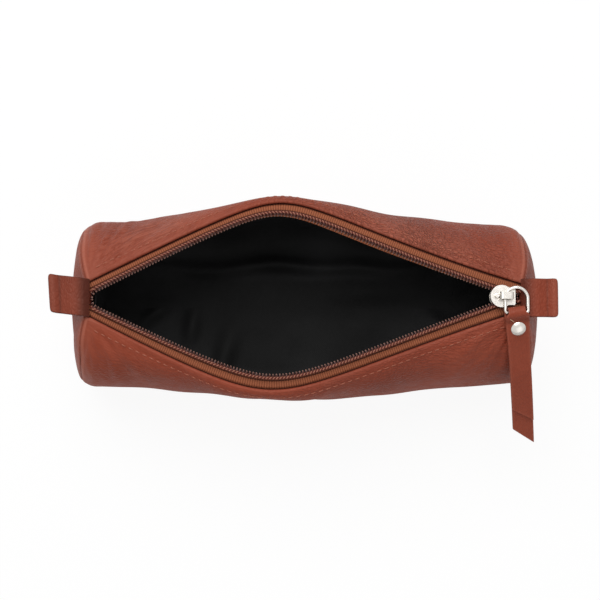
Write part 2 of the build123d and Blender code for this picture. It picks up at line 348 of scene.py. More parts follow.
def seamX(end, y, z):      # the distance of an end's seam from x = 0; its corners are rounded in plan
    start, length = seams["pullFrom"]
    upper = ease((z - start) / length)
    reach = seams["base"] - seams["lean"] * z - seams["pull"] * hump(y, 0, seams["pullWidth"]) * upper
    loss, start, length = seams["cornerTop"]
    fade, foot = 1 - loss * ease((z - start) / length), ease(z / seams["cornerFoot"])
    for (atEnd, atSide), (depth, start, length) in seams["corner"].items():
        here = (np.sign(end) == atEnd) & (np.sign(y) == atSide)
        turn = np.clip((np.abs(y) - start) / length, 0, 1.1) ** seams["cornerPower"] * fade
        reach = reach - depth * turn * here * foot
    return reach


def wallGrid(side, rows, steps, inset=0.0, back=0.0):      # rows run along X, columns up the wall
    crowd, share, even = 1.55, 0.35, np.linspace(-1, 1, rows)      # rows stand closer together near the ends
    u = np.tanh(crowd * even) / np.tanh(crowd) * share + even * (1 - share)
    t = np.concatenate([np.linspace(0, 1, steps[0], endpoint=False),
                        np.linspace(1, 2, steps[1], endpoint=False), np.linspace(2, 3, steps[2])])
    u, t = np.meshgrid(u, t, indexing="ij")
    x, reach = u * 98, 100.0 + 0 * u      # a first guess, mended in each pass
    depth, length = seams["turnIn"]
    loss, start, over = seams["turnHem"]
    for _ in range(4):
        y, z = wallPoint(x, t, side, inset)
        turn = np.clip(1 - (reach - np.abs(x)) / length, 0, 1) ** seams["turnPower"]
        turn = depth * turn * (1 - loss * ease((t - start) / over))
        far = np.maximum(np.hypot(y, z - core[2]), 1)
        y, z = y - turn * y / far, np.maximum(z - turn * (z - core[2]) / far, 0)
        reach = seamX(u, side * y, z) - back
        x = u * reach
    travel = wallPoint(x, t, side, inset)[0] - wallPoint(x, t, side, inset, shut=True)[0]
    return np.stack([x, side * y, z], -1), np.where(np.abs(x) < mouth["end"], travel, 0) / mouth["travel"]


def wallNormals(grid, line=None):      # line is the x of each point where a grid has been moved
    return gridNormals(grid, core + (grid if line is None else line) * (1, 0, 0))


def belowHem(grid):      # distance from the hem, down the wall
    along = np.cumsum(np.linalg.norm(np.diff(grid, axis=1, prepend=grid[:, :1]), axis=-1), axis=1)
    return along[:, -1:] - along


def bendShut(piece, weights):      # bakes the piece's placement into its points
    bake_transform(piece)


# Leather: pebbled hide with fine pores and soft folds, lighter worn edges, painted highlights and painted
# shade
hide = {
    "main": tone(138, 59, 38), "deep": tone(100, 38, 24),
    # the pale tone serves worn spots and painted highlights; the edge tone is painted shade in seams and
    # folds
    "wornAndSheen": tone(186, 112, 92), "edge": tone(74, 28, 17),
    "pebble": (0.44, 0.8), "crease": (0.22, 1.15),      # how many per mm, along and down the hide
    "pebbleGap": 0.3, "creaseEdges": (0.4, 0.62), "warp": 0.9, "warpSize": 0.45,
    "mottle": 26.0, "fine": 190.0, "pore": 2800.0,      # noise scales, in waves per metre
    # how strongly each layer tints the hide, and raises it
    "tint": {"mottle": 0.45, "fine": 0.1, "gap": 0.5, "furrow": 0.5, "crest": 0.38, "wearAndSheen": 0.75},
    "height": {"fine": 0.45, "pore": 0.14, "crease": 2.4}, "depth": 0.00042,
    "roughness": (0.44, 0.16), "gloss": 0.3, "glossTint": (1.0, 0.74, 0.64),
}


def leatherPaint(name, lighter=0.0, grain=1.0):
    paint = newPaint(name)
    place = paint.place()
    wearAndSheen, rough, shade, crease = (paint.mark(mark) for mark in ("wearAndSheen", "grain", "shade", "crease"))
    along, down = paint.mark("along"), paint.mark("down")
    share, rise = hide["tint"], hide["height"]

    def flat(sizes):      # a place on the unrolled hide
        return paint.add("ShaderNodeCombineXYZ", {}, {"X": along * sizes[0], "Y": down * sizes[1]})

    cells = flat(hide["pebble"])
    push = paint.add("ShaderNodeTexNoise", {},
                     {"Vector": cells, "Scale": hide["warpSize"], "Detail": 2.0}, "Color")
    push = paint.add("ShaderNodeVectorMath", {"operation": "SCALE"}, {0: push, "Scale": hide["warp"]})
    cells = paint.add("ShaderNodeVectorMath", {"operation": "ADD"}, {0: cells, 1: push})
    cells = paint.add("ShaderNodeTexVoronoi", {"feature": "DISTANCE_TO_EDGE"},
                      {"Vector": cells, "Scale": 1.0}, "Distance")
    pebbles = paint.step(cells, 0.0, hide["pebbleGap"])
    mottle = paint.step(paint.noise(place, hide["mottle"], 4.0), 0.25, 0.6)
    pores = paint.noise(place, hide["pore"], 2.0)
    fine = paint.noise(place, hide["fine"], 5.0)
    patches = paint.step(fine, 0.3, 0.7)
    lines = paint.add("ShaderNodeTexNoise", {},
                      {"Vector": flat(hide["crease"]), "Scale": 1.0, "Detail": 2.0, "Distortion": 0.5})
    ridges = paint.step(lines, *hide["creaseEdges"])
    tint = paint.mix(1 - share["mottle"] + share["mottle"] * mottle, hide["deep"], hide["main"])
    tint = paint.mix(lighter + share["fine"] * patches, tint, hide["wornAndSheen"])
    tint = paint.mix((1 - pebbles) * rough * share["gap"], tint, hide["deep"])
    # painted shade in the crease furrows and a painted highlight on their crests
    tint = paint.mix(crease * (1 - ridges) * share["furrow"], tint, hide["deep"])
    tint = paint.mix(crease * ridges * share["crest"], tint, hide["wornAndSheen"])
    # the wear mark gives lighter worn edges and painted highlights, the shade mark painted shade
    tint = paint.mix(wearAndSheen * share["wearAndSheen"], tint, hide["wornAndSheen"])
    tint = paint.mix(shade, tint, hide["edge"])
    height = pebbles * rough * grain + fine * rise["fine"] + pores * rise["pore"]
    height = height + lines * crease * rise["crease"]
    least, more = hide["roughness"]
    return paint.finish({"Base Color": tint, "Roughness": least + more * patches,
                         "Normal": paint.bump(height, hide["depth"]), "Specular IOR Level": hide["gloss"],
                         "Specular Tint": hide["glossTint"]})


wrapLeather = leatherPaint("wrapLeather")
trimLeather = leatherPaint("trimLeather", 0.02, 0.8)


# Wrap: front and back halves that meet under the base, each folded in at its hem
wrap = {
    "rows": 236, "steps": (22, 46, 76), "thickness": 1.2, "hemThickness": 1.6, "hemWidth": 9.0,
    "sag": 0.4, "sagSize": 46.0, "hemRise": 0.1, "ridge": 0.18, "pucker": 0.03,
    "stitchPitch": 3.3, "stitchIn": 3.4,
    "fans": {      # creases from the zip's ends: x, number, reach, height, seed
        -1: ((-93, 17, 26, 0.3, 30), (93, 21, 24, 0.18, 40)),
        1: ((-93, 24, 26, 0.3, 32), (93, 21, 24, 0.18, 42)),
    },
    # painted highlights on the seam ridges and near the upper ends, a lighter hem edge, and painted shade in
    # the seams
    "grain": {1: 1.0, -1: 0.55}, "wearAndSheen": {"seam": 0.75, "hem": 0.08, "ends": 0.15}, "seamShade": 0.25,
    # soft patches, each as strength, x, its width, distance below the hem, its width; the shine patches are
    # painted sheen
    "creases": {-1: ((0.35, -72, 12, 12, 10),), 1: ((1.0, -66, 20, 13, 11), (0.55, 34, 38, 12, 12))},
    "shine": {-1: (), 1: ((0.4, 44, 38, 4, 9), (0.3, -52, 22, 8, 6))},
    # the hide's own axes on the wall: shares of x and of the distance down, then a ripple's height and size
    "alongHide": (0.94, -0.34, 1.5, 44), "downHide": (0.136, 0.94, 0.8, 30),
}


def fan(grid, x, y, count, reach, seed):      # fine creases that spread from a corner of the zip
    dx, dy = np.abs(grid[..., 0] - x), np.abs(grid[..., 1] - y)
    far, angle = np.hypot(dx, dy), np.arctan2(dy, dx + 1e-6)
    lines = np.sin(count * angle + 0.9 * ripple(far, angle * 20, 30, seed)) + 0.6 * np.sin(
        1.73 * count * angle + ripple(far, angle * 20, 18, seed + 1))
    return lines * hump(far, reach, reach * 0.75) * ease((far - 4) / 8)


def softPatches(kind, side, x, down):
    return sum(strength * hump(x, midX, wide) * hump(down, midDown, deep)
               for strength, midX, wide, midDown, deep in wrap[kind][side])


def hideAxes(side, x, down):      # the grain runs at a slant, which turns over at the wall's middle
    share, level, height, size = wrap["alongHide"]
    along = x * share + down * level + height * ripple(x, down, size, 93 + side)
    share, level, height, size = wrap["downHide"]
    turn = np.sqrt((x + 8) ** 2 + 300)
    return along, down * level + side * share * turn + height * ripple(x, down, size, 95 + side)


# How worn and lit by painted highlights, pebbled, darkened by painted shade at the seams, and creased the
# hide is; ends is the distance from the nearer end seam
def wrapMarks(side, x, z, down, ends):
    upper, wornAndSheen = ease((z - 34) / 22), wrap["wearAndSheen"]
    # painted highlight along the seam ridge, stronger higher up, a lighter hem edge, painted highlights near
    # the upper ends, and painted sheen patches
    wearAndSheen = wornAndSheen["seam"] * hump(ends, 0.95, 0.5) * (0.4 + 0.6 * upper) + wornAndSheen["hem"] * hump(down, 0, 0.8)
    wearAndSheen = wearAndSheen + wornAndSheen["ends"] * ease((z - 40) / 20) * hump(ends, 3, 3) + softPatches("shine", side, x, down)
    grain = wrap["grain"][side] * ease((ends + 4) / 20) * (0.55 + 0.25 * ripple(x, down, 60, 11))
    crease = 0.12 * ripple(x, down, 40, 91 + side) + softPatches("creases", side, x, down)
    if side > 0:
        grain = grain + 0.7 * hump(x, 42, 40) * upper
    else:
        crease = crease + 0.2 * hump(x, 70, 18)
    along, level = hideAxes(side, x, down)
    # shade: painted shade in the seam groove
    marks = {"grain": np.clip(grain, 0.15, 1.4), "crease": np.clip(crease * upper * ease(ends / 6), 0, 1),
             "shade": wrap["seamShade"] * np.clip(1 - ends / 0.35, 0, 1) + 0 * x,
             "along": along, "down": level}
    return {"wearAndSheen": sheetMark(wearAndSheen, 4, hidden=0.0), **sheetMarks(marks, 4)}


def makeWrap(side):
    grid, weights = wallGrid(side, wrap["rows"], wrap["steps"])
    x, y, z = grid[..., 0], np.abs(grid[..., 1]), grid[..., 2]
    normals, down = wallNormals(grid), belowHem(grid)
    ends = seamX(x, side * y, z) - np.abs(x)      # distance from the nearer end seam
    lift = wrap["sag"] * ripple(x, down, wrap["sagSize"], 5 + side) * ease(z / 14) * ease(ends / 14)
    lift = lift * ease(down / 9)
    for fanX, count, reach, height, seed in wrap["fans"][side]:
        creases = fan(grid, fanX, side * 6, count, reach, seed)
        lift = lift + height * creases * ease((z - 34) / 22) * ease(down / 3)
    pucker = wrap["pucker"] * np.cos(math.tau * x / wrap["stitchPitch"])
    lift = lift + pucker * hump(down, wrap["stitchIn"], 1.3) + wrap["hemRise"] * hump(down, 1.2, 1.4)
    lift = lift + wrap["ridge"] * hump(ends, 0.95, 0.5) * ease(down / 3)
    outer = grid + normals * lift[..., None]
    outer[..., 2] = np.maximum(outer[..., 2], 0)
    fold = ease((wrap["hemWidth"] - down) / 3)
    thick = wrap["thickness"] + (wrap["hemThickness"] - wrap["thickness"]) * fold
    rings = sheetRings(outer, outer - normals * thick[..., None])
    piece = makeSheet("wrap_" + sideName[side], rings, wrapLeather, wrapMarks(side, x, z, down, ends), 60)
    bendShut(piece, sheetMark(weights, 4))
    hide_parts("body_panel", "body_interlining")
    return outer, normals, down, weights


wrapParts = {side: makeWrap(side) for side in (-1, 1)}
print("leather wrap done")


# Domed ends: a disc inside a closed line of points, raised towards its middle
panel = {"rings": 44, "thickness": 1.2, "roll": 0.28, "rollWidth": 1.0, "sag": 0.35, "out": 0.0}


def endLoop(index, front, back):      # the wrap's end as one closed line, front then back
    front, back = front[index], back[index]
    top = np.linspace(front[-1], back[-1], 14)[1:-1]
    top[:, 2] += 0.5 * np.sin(np.linspace(0, math.pi, 14)[1:-1])
    return np.concatenate([front, top, back[:0:-1]])


def makeDome(name, loop, end, look, material):
    spread = unit((loop - core)[:, 1:])
    reach = np.linalg.norm((loop - core)[:, 1:], axis=1)
    share = 1 - np.linspace(0, 1, look["rings"])[:-1] ** 1.25 * 0.985      # rings crowd towards the edge
    share = np.sort(np.concatenate([share, 1 - np.array([0.3, 0.7, 1.1, 1.6]) / 35]))[::-1]
    edgeRise, edgeWidth = seams["edgeRise"]
    rows = []
    for s in share:
        inside = (1 - s) * reach
        roll = look["roll"] * inside / look["rollWidth"] * np.exp(1 - inside / look["rollWidth"])
        y, z = (core[1:] + spread * (reach * s + roll)[:, None]).T
        rise = seams["rise"] * (1 - s ** seams["risePower"]) + edgeRise * (1 - np.exp(-inside / edgeWidth))
        rise = rise + look["sag"] * ripple(y, z, 34, 71 + end) * (1 - s) * 2
        rows.append(np.stack([end * (seamX(end, y, z) + look["out"] + rise), y, np.maximum(z, 0.0)], -1))
    outer = np.array(rows)
    around = np.concatenate([outer[:, -1:], outer, outer[:, :1]], 1)
    normals = gridNormals(around, around - np.array([end * 40.0, 0, 0]))[:, 1:-1]
    inner = outer - normals * look["thickness"]
    if look["out"] == 0:
        inner[..., 2] = np.maximum(inner[..., 2], 0.3)
    rings = np.concatenate([outer[::-1], inner])      # middle, out to the seam, and back inside
    size = rings.shape[1]
    points = np.concatenate([rings.reshape(-1, 3), [outer[-1].mean(0)], [inner[-1].mean(0)]])
    faces = ringFaces(len(rings), size, caps=False)
    last, count = (len(rings) - 1) * size, len(rings) * size
    faces += [[j, (j + 1) % size, count] for j in range(size)]
    faces += [[last + (j + 1) % size, last + j, count + 1] for j in range(size)]
    edge = np.concatenate([1 - share[::-1], 1 - share])[:, None] * np.ones((1, size)) * 35
    pad = [0.0, 0.0]      # for the two middle points
    # a pale line by the seam is a painted highlight, and the darkening at the seam painted shade
    return makePiece(name, points, faces, material, {
        "wearAndSheen": np.append(0.35 * hump(edge, 1.2, 0.8), pad), "grain": np.append(0.4 + 0 * edge, pad),
        "along": np.append(points[:-2, 1], pad), "down": np.append(points[:-2, 2], [core[2], core[2]]),
        "shade": np.append(0.3 * np.clip(1 - edge / 0.5, 0, 1), pad)}, sharp=60)


def makeSeamSewing(loop, end, where):      # thread inside the seam, with a slight wave from stitch to stitch
    path = core + (loop - core) * (1, 0.95, 0.95)
    path[:, 0] += end * 0.3 * np.sin(np.arange(len(path)) * 1.9)
    rings = tubeRings(path, 0.22, closed=True)
    faces = ringFaces(len(rings), rings.shape[1], caps=False, closed=True)
    return makePiece("seam_sewing_" + where, rings, faces, trimLeather)


for end, index, where in ((-1, 0, "left"), (1, -1, "right")):
    loop = endLoop(index, wrapParts[-1][0], wrapParts[1][0])
    dome = makeDome("dome_" + where, loop, end, panel, trimLeather)
    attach(dome, "root")
    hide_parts("end_panel_" + where)
    sewing = makeSeamSewing(loop, end, where)
    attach(sewing, "root")
    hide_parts("seam_thread_" + where)
print("domed ends done")


# Lining: black satin-like cloth with soft folds
satin = {
    # the light tone is painted light on the lining's ends and back wall
    "main": tone(15, 15, 15), "fold": tone(27, 27, 27), "paintedLight": tone(60, 60, 61),
    "weave": 600.0, "cloud": 28.0, "depth": 0.00006, "roughness": (0.62, 0.12), "gloss": 0.16,
}
lining = {
    "rows": 190, "steps": (26, 44, 50), "inset": 2.4, "back": 2.3, "thickness": 0.35,
    "fold": 0.9, "foldSize": 58.0, "laidBend": 0.6, "paintedLightEnds": 0.75, "paintedLightBack": 0.42,
    # laid folds: side, place along x, distance below the hem, direction in degrees, length, width, height
    "laid": ((1, -4, 78, 0, 62, 3.2, 3.4), (1, 12, 40, -38, 20, 5.0, 2.6), (1, -22, 36, 24, 16, 4.0, 1.8),
             (-1, -70, 96, 39, 9, 3.2, 3.0), (-1, -38, 74, 70, 13, 4.2, 2.6), (1, -74, 62, -56, 18, 3.6, 2.6),
             (-1, 64, 92, -40, 10, 4.0, 3.0), (-1, -53, 88, 80, 9, 4.0, 2.8), (1, 58, 50, 40, 18, 4.6, 2.2)),
    "tuck": ((0.4, 0.9), (1.1, 0.55), (1.8, 0.5)),      # under the hem: distance in from it, and drop
    "end": {"rings": 24, "thickness": 0.35, "roll": 0.0, "rollWidth": 1.0, "sag": 0.8, "out": -2.65},
}


def liningPaint():
    paint = newPaint("liningSatin")
    place = paint.place()
    weave, cloud = paint.wave(place, satin["weave"], 0.5), paint.noise(place, satin["cloud"], 3.0)
    tint = paint.mix(paint.step(cloud, 0.42, 0.68), satin["main"], satin["fold"])
    tint = paint.mix(paint.mark("paintedLight"), tint, satin["paintedLight"])
    least, more = satin["roughness"]
    return paint.finish({"Base Color": tint, "Roughness": least + more * cloud,
                         "Normal": paint.bump(weave * 0.5 + cloud, satin["depth"]),
                         "Specular IOR Level": satin["gloss"]})


liningCloth = liningPaint()


def tapeHeight(x, side, across):      # across runs from the coil's edge (0) to the hem (1)
    share = openness(lipLine(x, side, "hem"))
    return (68.0 - 0.5 * share) * (1 - across) + (67.55 - 1.6 * share) * across


def foldHeight(side, x, y, z, down):
    folds = ripple(x * 0.7, y + z, lining["foldSize"], 51 + side)
    folds = folds + 0.2 * ripple(x, y * 1.4 + z, 30, 53 + side)
    ends, below = 98 - np.abs(x), 66 - z      # distance from the end seams and from the hem
    folds = lining["fold"] * np.clip(folds + 0.7, 0, 2.2) * ease(ends / 16) * ease(below / 12) * ease(y / 9)
    bend = lining["laidBend"] * ripple(x, down, 40, 57)
    for atSide, midX, midDown, turn, length, width, height in lining["laid"]:
        if atSide == side:
            dx, dy, turn = x - midX, down - midDown, math.radians(turn)
            across = dy * math.cos(turn) - dx * math.sin(turn)
            along = dx * math.cos(turn) + dy * math.sin(turn)
            laid = height * hump(across + bend, 0, width) * hump(along, 0, length)
            folds = folds + laid * ease(below / 10)
    return folds


def makeLining(side):
    grid, weights = wallGrid(side, lining["rows"], lining["steps"], lining["inset"], lining["back"])
    x, y, z = grid[..., 0], np.abs(grid[..., 1]), grid[..., 2]
    outer = grid - wallNormals(grid) * foldHeight(side, x, y, z, belowHem(grid))[..., None]
    lipX, tucks = outer[:, -1, 0], len(lining["tuck"])
    hem, height = lipLine(lipX, side, "hem"), tapeHeight(lipX, side, 0.8) - 0.6
    tuck = [np.stack([lipX, side * (hem - step), height - drop], -1) for step, drop in lining["tuck"]]
    outer = np.concatenate([outer, np.stack(tuck, 1)], 1)
    line = np.concatenate([grid, np.repeat(grid[:, -1:], tucks, 1)], 1)
    inner = outer - wallNormals(outer, line) * lining["thickness"]
    rings = sheetRings(outer, inner, rim=2)
    weights = np.concatenate([weights, np.repeat(weights[:, -1:], tucks, 1)], 1)
    x, y = rings[..., 0], rings[..., 1]
    # painted light, stronger towards the closed ends
    paintedLight = lining["paintedLightEnds"] * ease((np.abs(x + 6) - 26) / 66)
    if side > 0:      # painted light on the slack cloth at the back, where it catches more light
        patch = 0.75 + 0.4 * ripple(x, y, 34, 97)
        paintedLight = paintedLight + lining["paintedLightBack"] * ease((y - 12) / 4) * patch * hump(x, 10, 62)
    piece = makeSheet("lining_" + sideName[side], rings, liningCloth, {"paintedLight": np.clip(paintedLight, 0, 1)}, 70)
    bendShut(piece, sheetMark(weights, 2))
    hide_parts("body_lining")
    return grid


liningWalls = [makeLining(side) for side in (-1, 1)]
for end, index, where in ((-1, 0, "left"), (1, -1, "right")):
    disc = makeDome("lining_end_" + where, endLoop(index, *liningWalls), end, lining["end"], liningCloth)
    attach(disc, "root")
    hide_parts("end_lining_" + where)
print("lining done")


# Zip: two woven tapes, each with a sewn-on coil, that curve round at the left end
zipLook = {
    "pitch": 1.41, "coilWidth": 2.3, "coilHeight": 1.0, "wire": 0.26, "perTurn": 14, "end": 92.6,
    "sewingAt": 1.95, "sewingRise": 1.42, "sewingRadius": 0.27, "sewingSwing": (0.3, 0.24),
    "dip": 1.7, "dipFrom": -90.5,      # the coils sink under the left tab from this x
    "cross": (0.52, 0.44),      # the wire steps on to the next turn from here, over this share of a turn
    "tapeThickness": 0.55, "tapeIn": 1.1, "tapeUnder": 1.6, "tapeDrop": 1.1,
    "tapeWider": (1.4, 22, 44),                  # of the back tape, towards its coil: amount, x, width
    "tapeGroove": (0.35, 2.9, 0.35),             # depth, distance from the coil's edge, width
    "tapeDark": (0.97, 0.75, 0.6),               # the shade under the hem: amount, distance before it, width
}
tapeLook = {
    "low": tone(98, 45, 26), "high": tone(180, 108, 74),
    # groove is painted shade beside the coil's sewing, and hidden the painted shadow under the hem
    "groove": tone(58, 22, 12), "hidden": tone(62, 22, 11),
    "rib": 0.95, "row": 0.62, "grooveEdges": (2.55, 2.8, 3.05, 3.35),
}
# the tip tone is a painted highlight on the coil's turns
coilTones = {"wire": tone(72, 30, 24), "tip": tone(168, 128, 114), "cloud": tone(70, 30, 22)}


def tapePaint():
    paint = newPaint("zipTapeWeave")
    along, across, place = paint.mark("along"), paint.mark("across"), paint.place()
    ribs = paint.sine(along * (math.tau / tapeLook["rib"]))
    rows = paint.sine(across * (math.tau / tapeLook["row"]))
    cloud = paint.noise(place, 900.0, 3.0)
    weave = 0.5 + 0.5 * ribs * (0.7 + 0.3 * rows)
    tint = paint.mix(weave * 0.75 + 0.25 * cloud, tapeLook["low"], tapeLook["high"])
    edges = tapeLook["grooveEdges"]
    # painted shade in the groove beside the sewing, then the painted shadow under the hem
    groove = paint.step(across, *edges[:2]) * (1 - paint.step(across, *edges[2:]))
    tint = paint.mix(groove * 0.85, tint, tapeLook["groove"])
    tint = paint.mix(paint.mark("shade"), tint, tapeLook["hidden"])
    return paint.finish({"Base Color": tint, "Roughness": 0.72 + 0.12 * cloud,
                         "Normal": paint.bump(weave + 0.4 * cloud, 0.0002), "Specular IOR Level": 0.25})


def coilPaint():
    paint = newPaint("zipCoilNylon")
    cloud = paint.noise(paint.place(), 700.0, 2.0)
    tint = paint.mix(paint.mark("tip"), coilTones["wire"], coilTones["tip"])
    tint = paint.mix(cloud * 0.35, tint, coilTones["cloud"])
    return paint.finish({"Base Color": tint, "Roughness": 0.34 + 0.1 * cloud,
                         "Normal": paint.bump(cloud, 0.00003), "Specular IOR Level": 0.5})


def threadPaint(name, main, light, second=None):
    paint = newPaint(name)
    twist = paint.wave(paint.place(), 900.0, 1.0)
    tint = paint.mix(twist, main, light)
    if second:
        tint = paint.mix(paint.mark("strand"), tint, second)
    return paint.finish({"Base Color": tint, "Roughness": 0.6 + 0.1 * twist,
                         "Normal": paint.bump(twist, 0.00006), "Specular IOR Level": 0.3})


tapeCloth, coilNylon = tapePaint(), coilPaint()
zipThread = threadPaint("zipSewing", tone(150, 92, 72), tone(182, 126, 104), tone(92, 36, 29))
seamThread = threadPaint("topSewing", tone(140, 70, 52), tone(184, 116, 92))
looseThread = threadPaint("looseThread", tone(206, 158, 128), tone(232, 190, 160))


def lipPath(side, cornered):      # the coil's inner edge in plan, from the left end
    x = np.linspace(mouth["cornerX"], zipLook["end"], 900)
    path = np.stack([x, side * lipLine(x, side, "coil")], -1)
    ahead = unit(path[1] - path[0])
    if cornered:      # round the end of the mouth
        out = np.array([-ahead[1], ahead[0]]) * side
        radius = abs(path[0, 1] - mouth["cornerY"]) / abs(out[1])
        turns = np.linspace(math.pi, math.atan2(side * out[1], out[0]), 40)[:-1]
        start = path[0] - out * radius + radius * np.stack([np.cos(turns), side * np.sin(turns)], -1)
    else:             # straight on, as far as the middle
        start = path[0] - ahead * np.linspace(3.6, 0.1, 12)[:, None]
        start[:, 1] = side * np.maximum(side * start[:, 1], side * mouth["cornerY"] + 0.15)
    return np.concatenate([start, path])


def alongLip(side, cornered):      # at(distance) gives a place and the way outwards; total is the length
    path = lipPath(side, cornered)
    lengths = runLengths(path)

    def at(s):
        ahead = unit(pathAt(s + 0.4, lengths, path) - pathAt(s - 0.4, lengths, path))
        return pathAt(s, lengths, path), np.stack([-ahead[:, 1], ahead[:, 0]], -1) * side

    return at, lengths[-1]


def lipWeights(points, side):      # how far each point of the zip moves as it closes
    x, y = points[..., 0], side * points[..., 1]
    coil, hem = lipLine(x, side, "coil"), lipLine(x, side, "hem")
    share = np.clip((y - coil) / (hem - coil), 0, 1.3)
    travel = (coil - shutLine(x, side, "coil")) * (1 - share) + (hem - shutLine(x, side, "hem")) * share
    return travel * ease((x - mouth["cornerX"]) / 6) / mouth["travel"]


def makeTape(side):
    at, total = alongLip(side, False)
    s = np.linspace(0, total, 420)
    point, out = at(s)
    gap = ((lipLine(point[:, 0], side, "hem") - side * point[:, 1]) * np.abs(out[:, 1]))[:, None]
    wider, midX, width = zipLook["tapeWider"]
    first = zipLook["tapeIn"] - (wider * hump(point[:, :1], midX, width) if side > 0 else 0)
    last = gap + (zipLook["tapeUnder"] * ease((s - 3) / 8) * ease((total - 1 - s) / 5))[:, None]
    d = first + (last - first) * np.linspace(0, 1, 26)[None, :]
    z = tapeHeight(point[:, :1], side, np.clip(d / gap, 0, 1.4))
    depth, place, width = zipLook["tapeGroove"]
    z = z - depth * hump(d, place, width) - 0.5 * ease((d - gap + 1.1) / 0.9)      # groove and hem's seat
    z = z - zipLook["tapeDrop"] * ease((d - gap) / 1.6) + 0.05 * ripple(s[:, None] + 0 * d, d, 16, 61 + side)
    outer = np.concatenate([point[:, None] + out[:, None] * d[..., None], z[..., None]], -1)
    rings = sheetRings(outer, outer - np.array([0, 0, zipLook["tapeThickness"]]), rim=2)
    dark, before, width = zipLook["tapeDark"]
    marks = {"along": s[:, None] + 0 * d, "across": d, "shade": ease((d - gap + before) / width) * dark}
    piece = makeSheet("tape_" + sideName[side], rings, tapeCloth, sheetMarks(marks, 2), 60)
    bendShut(piece, lipWeights(rings, side))
    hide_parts("zip_tape_" + sideName[side])


def makeCoil(side):
    at, total = alongLip(side, True)
    pitch, wire, half = zipLook["pitch"], zipLook["wire"], zipLook["coilWidth"] / 2
    a = np.arange(int(total / pitch) * zipLook["perTurn"] + 1) / zipLook["perTurn"]
    whole, part = np.floor(a), a - np.floor(a)
    start, share = zipLook["cross"]
    s = (whole + np.clip((part - start) / share, 0, 1)) * pitch + (0 if side < 0 else 0.5) * pitch
    point, out = at(np.minimum(s, total - 0.5))
    d = wire + half + half * np.cos(math.tau * part)
    z = tapeHeight(point[:, 0], side, 0.15) + 0.85 + zipLook["coilHeight"] / 2 * np.sin(math.tau * part)
    z = z - zipLook["dip"] * ease((zipLook["dipFrom"] - point[:, 0] - out[:, 0] * d) / 3)
    rings = tubeRings(np.concatenate([point + out * d[:, None], z[:, None]], -1), wire, 7)
    # painted highlight on the turns at the coil's inner edge
    tip = ease(1.1 - (d - wire) / 0.4)[:, None] * np.ones((1, rings.shape[1]))
    coil = makeSheet("coil_" + sideName[side], rings, coilNylon, {"tip": tip}, 40)
    bendShut(coil, lipWeights(rings, side))
    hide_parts("zip_coil_" + sideName[side])


def makeCoilSewing(side):      # two strands laid round each other along the coil's outer side
    at, total = alongLip(side, True)
    s = np.arange(2.0, total - 0.5, 0.13)
    point, out = at(s)
    wide, high = zipLook["sewingSwing"]
    strands = []
    for start in (0, math.pi):
        turn = math.tau * s / zipLook["pitch"] + start
        d = zipLook["sewingAt"] + wide * np.cos(turn)
        z = tapeHeight(point[:, 0], side, 0.2) + zipLook["sewingRise"] + high * np.sin(turn)
        line = np.concatenate([point + out * d[:, None], z[:, None]], -1)
        strands.append(tubeRings(line, zipLook["sewingRadius"]))
    points, faces = joinRings(strands)
    points[:, 2] -= zipLook["dip"] * ease((zipLook["dipFrom"] - points[:, 0]) / 3)
    sewing = makePiece("coil_sewing_" + sideName[side], points, faces, zipThread,
                       {"strand": np.repeat((0.0, 1.0), len(points) // 2)})
    bendShut(sewing, lipWeights(points, side))


for side in (-1, 1):
    makeTape(side)
    makeCoil(side)
    makeCoilSewing(side)
print("zip tapes and coils done")


# Topstitching: short loops of thread along each hem
topStitch = {"length": 2.3, "radius": 0.2, "rise": 0.1, "dive": 0.6}


def makeTopStitch(side):
    outer, normals, down, weights = wrapParts[side]
    fields = np.concatenate([outer, normals, weights[..., None]], -1)[:, ::-1]
    line = np.array([pathAt(wrap["stitchIn"], below[::-1], row) for below, row in zip(down, fields)])
    lengths = runLengths(line[:, :3])
    spread = np.linspace(-1, 1, 9)
    height = topStitch["rise"] - topStitch["dive"] * np.abs(spread) ** 4      # both ends go into the leather
    groups, shares = [], []
    for k in range(2, int(lengths[-1] / wrap["stitchPitch"]) - 1):
        spots = pathAt(k * wrap["stitchPitch"] + spread / 2 * topStitch["length"], lengths, line)
        rings = tubeRings(spots[:, :3] + unit(spots[:, 3:6]) * height[:, None], topStitch["radius"])
        groups.append(rings)
        shares.append(np.repeat(spots[:, 6], rings.shape[1]))
    points, faces = joinRings(groups)
    piece = makePiece("stitches_" + sideName[side], points, faces, seamThread)
    bendShut(piece, np.concatenate(shares))
    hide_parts("topstitch_" + sideName[side])


for side in (-1, 1):
    makeTopStitch(side)
print("topstitching done")


# Grip tabs: a leather strip folded to a loop, pressed together behind its fold
tab = {
    "thickness": 1.0, "width": 16.4, "root": 92.6, "columns": 34, "edge": 0.4, "cornerRound": 0.8,
    # the loop seen from the side: distance out from the root or back from the tip, and height
    "top": ((0.0, 68.9), (0.8, 69.6), (2.2, 70.5), (4.2, 70.85)),
    "fold": ((9.0, 70.85), (6.3, 70.25), (4.6, 69.95), (3.4, 70.45), (2.0, 71.0), (0.75, 70.6), (0.5, 69.4),
             (0.75, 68.2), (2.0, 67.75), (3.4, 68.1), (4.6, 68.65), (6.3, 68.75), (9.0, 69.0)),
    "under": ((3.4, 69.1), (1.6, 68.5), (0.0, 67.9)),
    # dark is painted shade laid over the whole tab
    "left": {"end": 109.4, "shift": (-0.6, 1.5), "slant": -0.08, "dark": 0.32},
    "right": {"end": 108.1, "shift": (-0.6, -0.6), "slant": 0.0, "dark": 0.05},
}


def roundedEdge(v, width, edge, least):      # a strip's thickness across it, less at its rounded long edges
    near = np.clip((1 - np.abs(v)) * width / 2 / edge, 0, 1)
    return near, least + (1 - least) * np.sqrt(1 - (1 - near) ** 2)


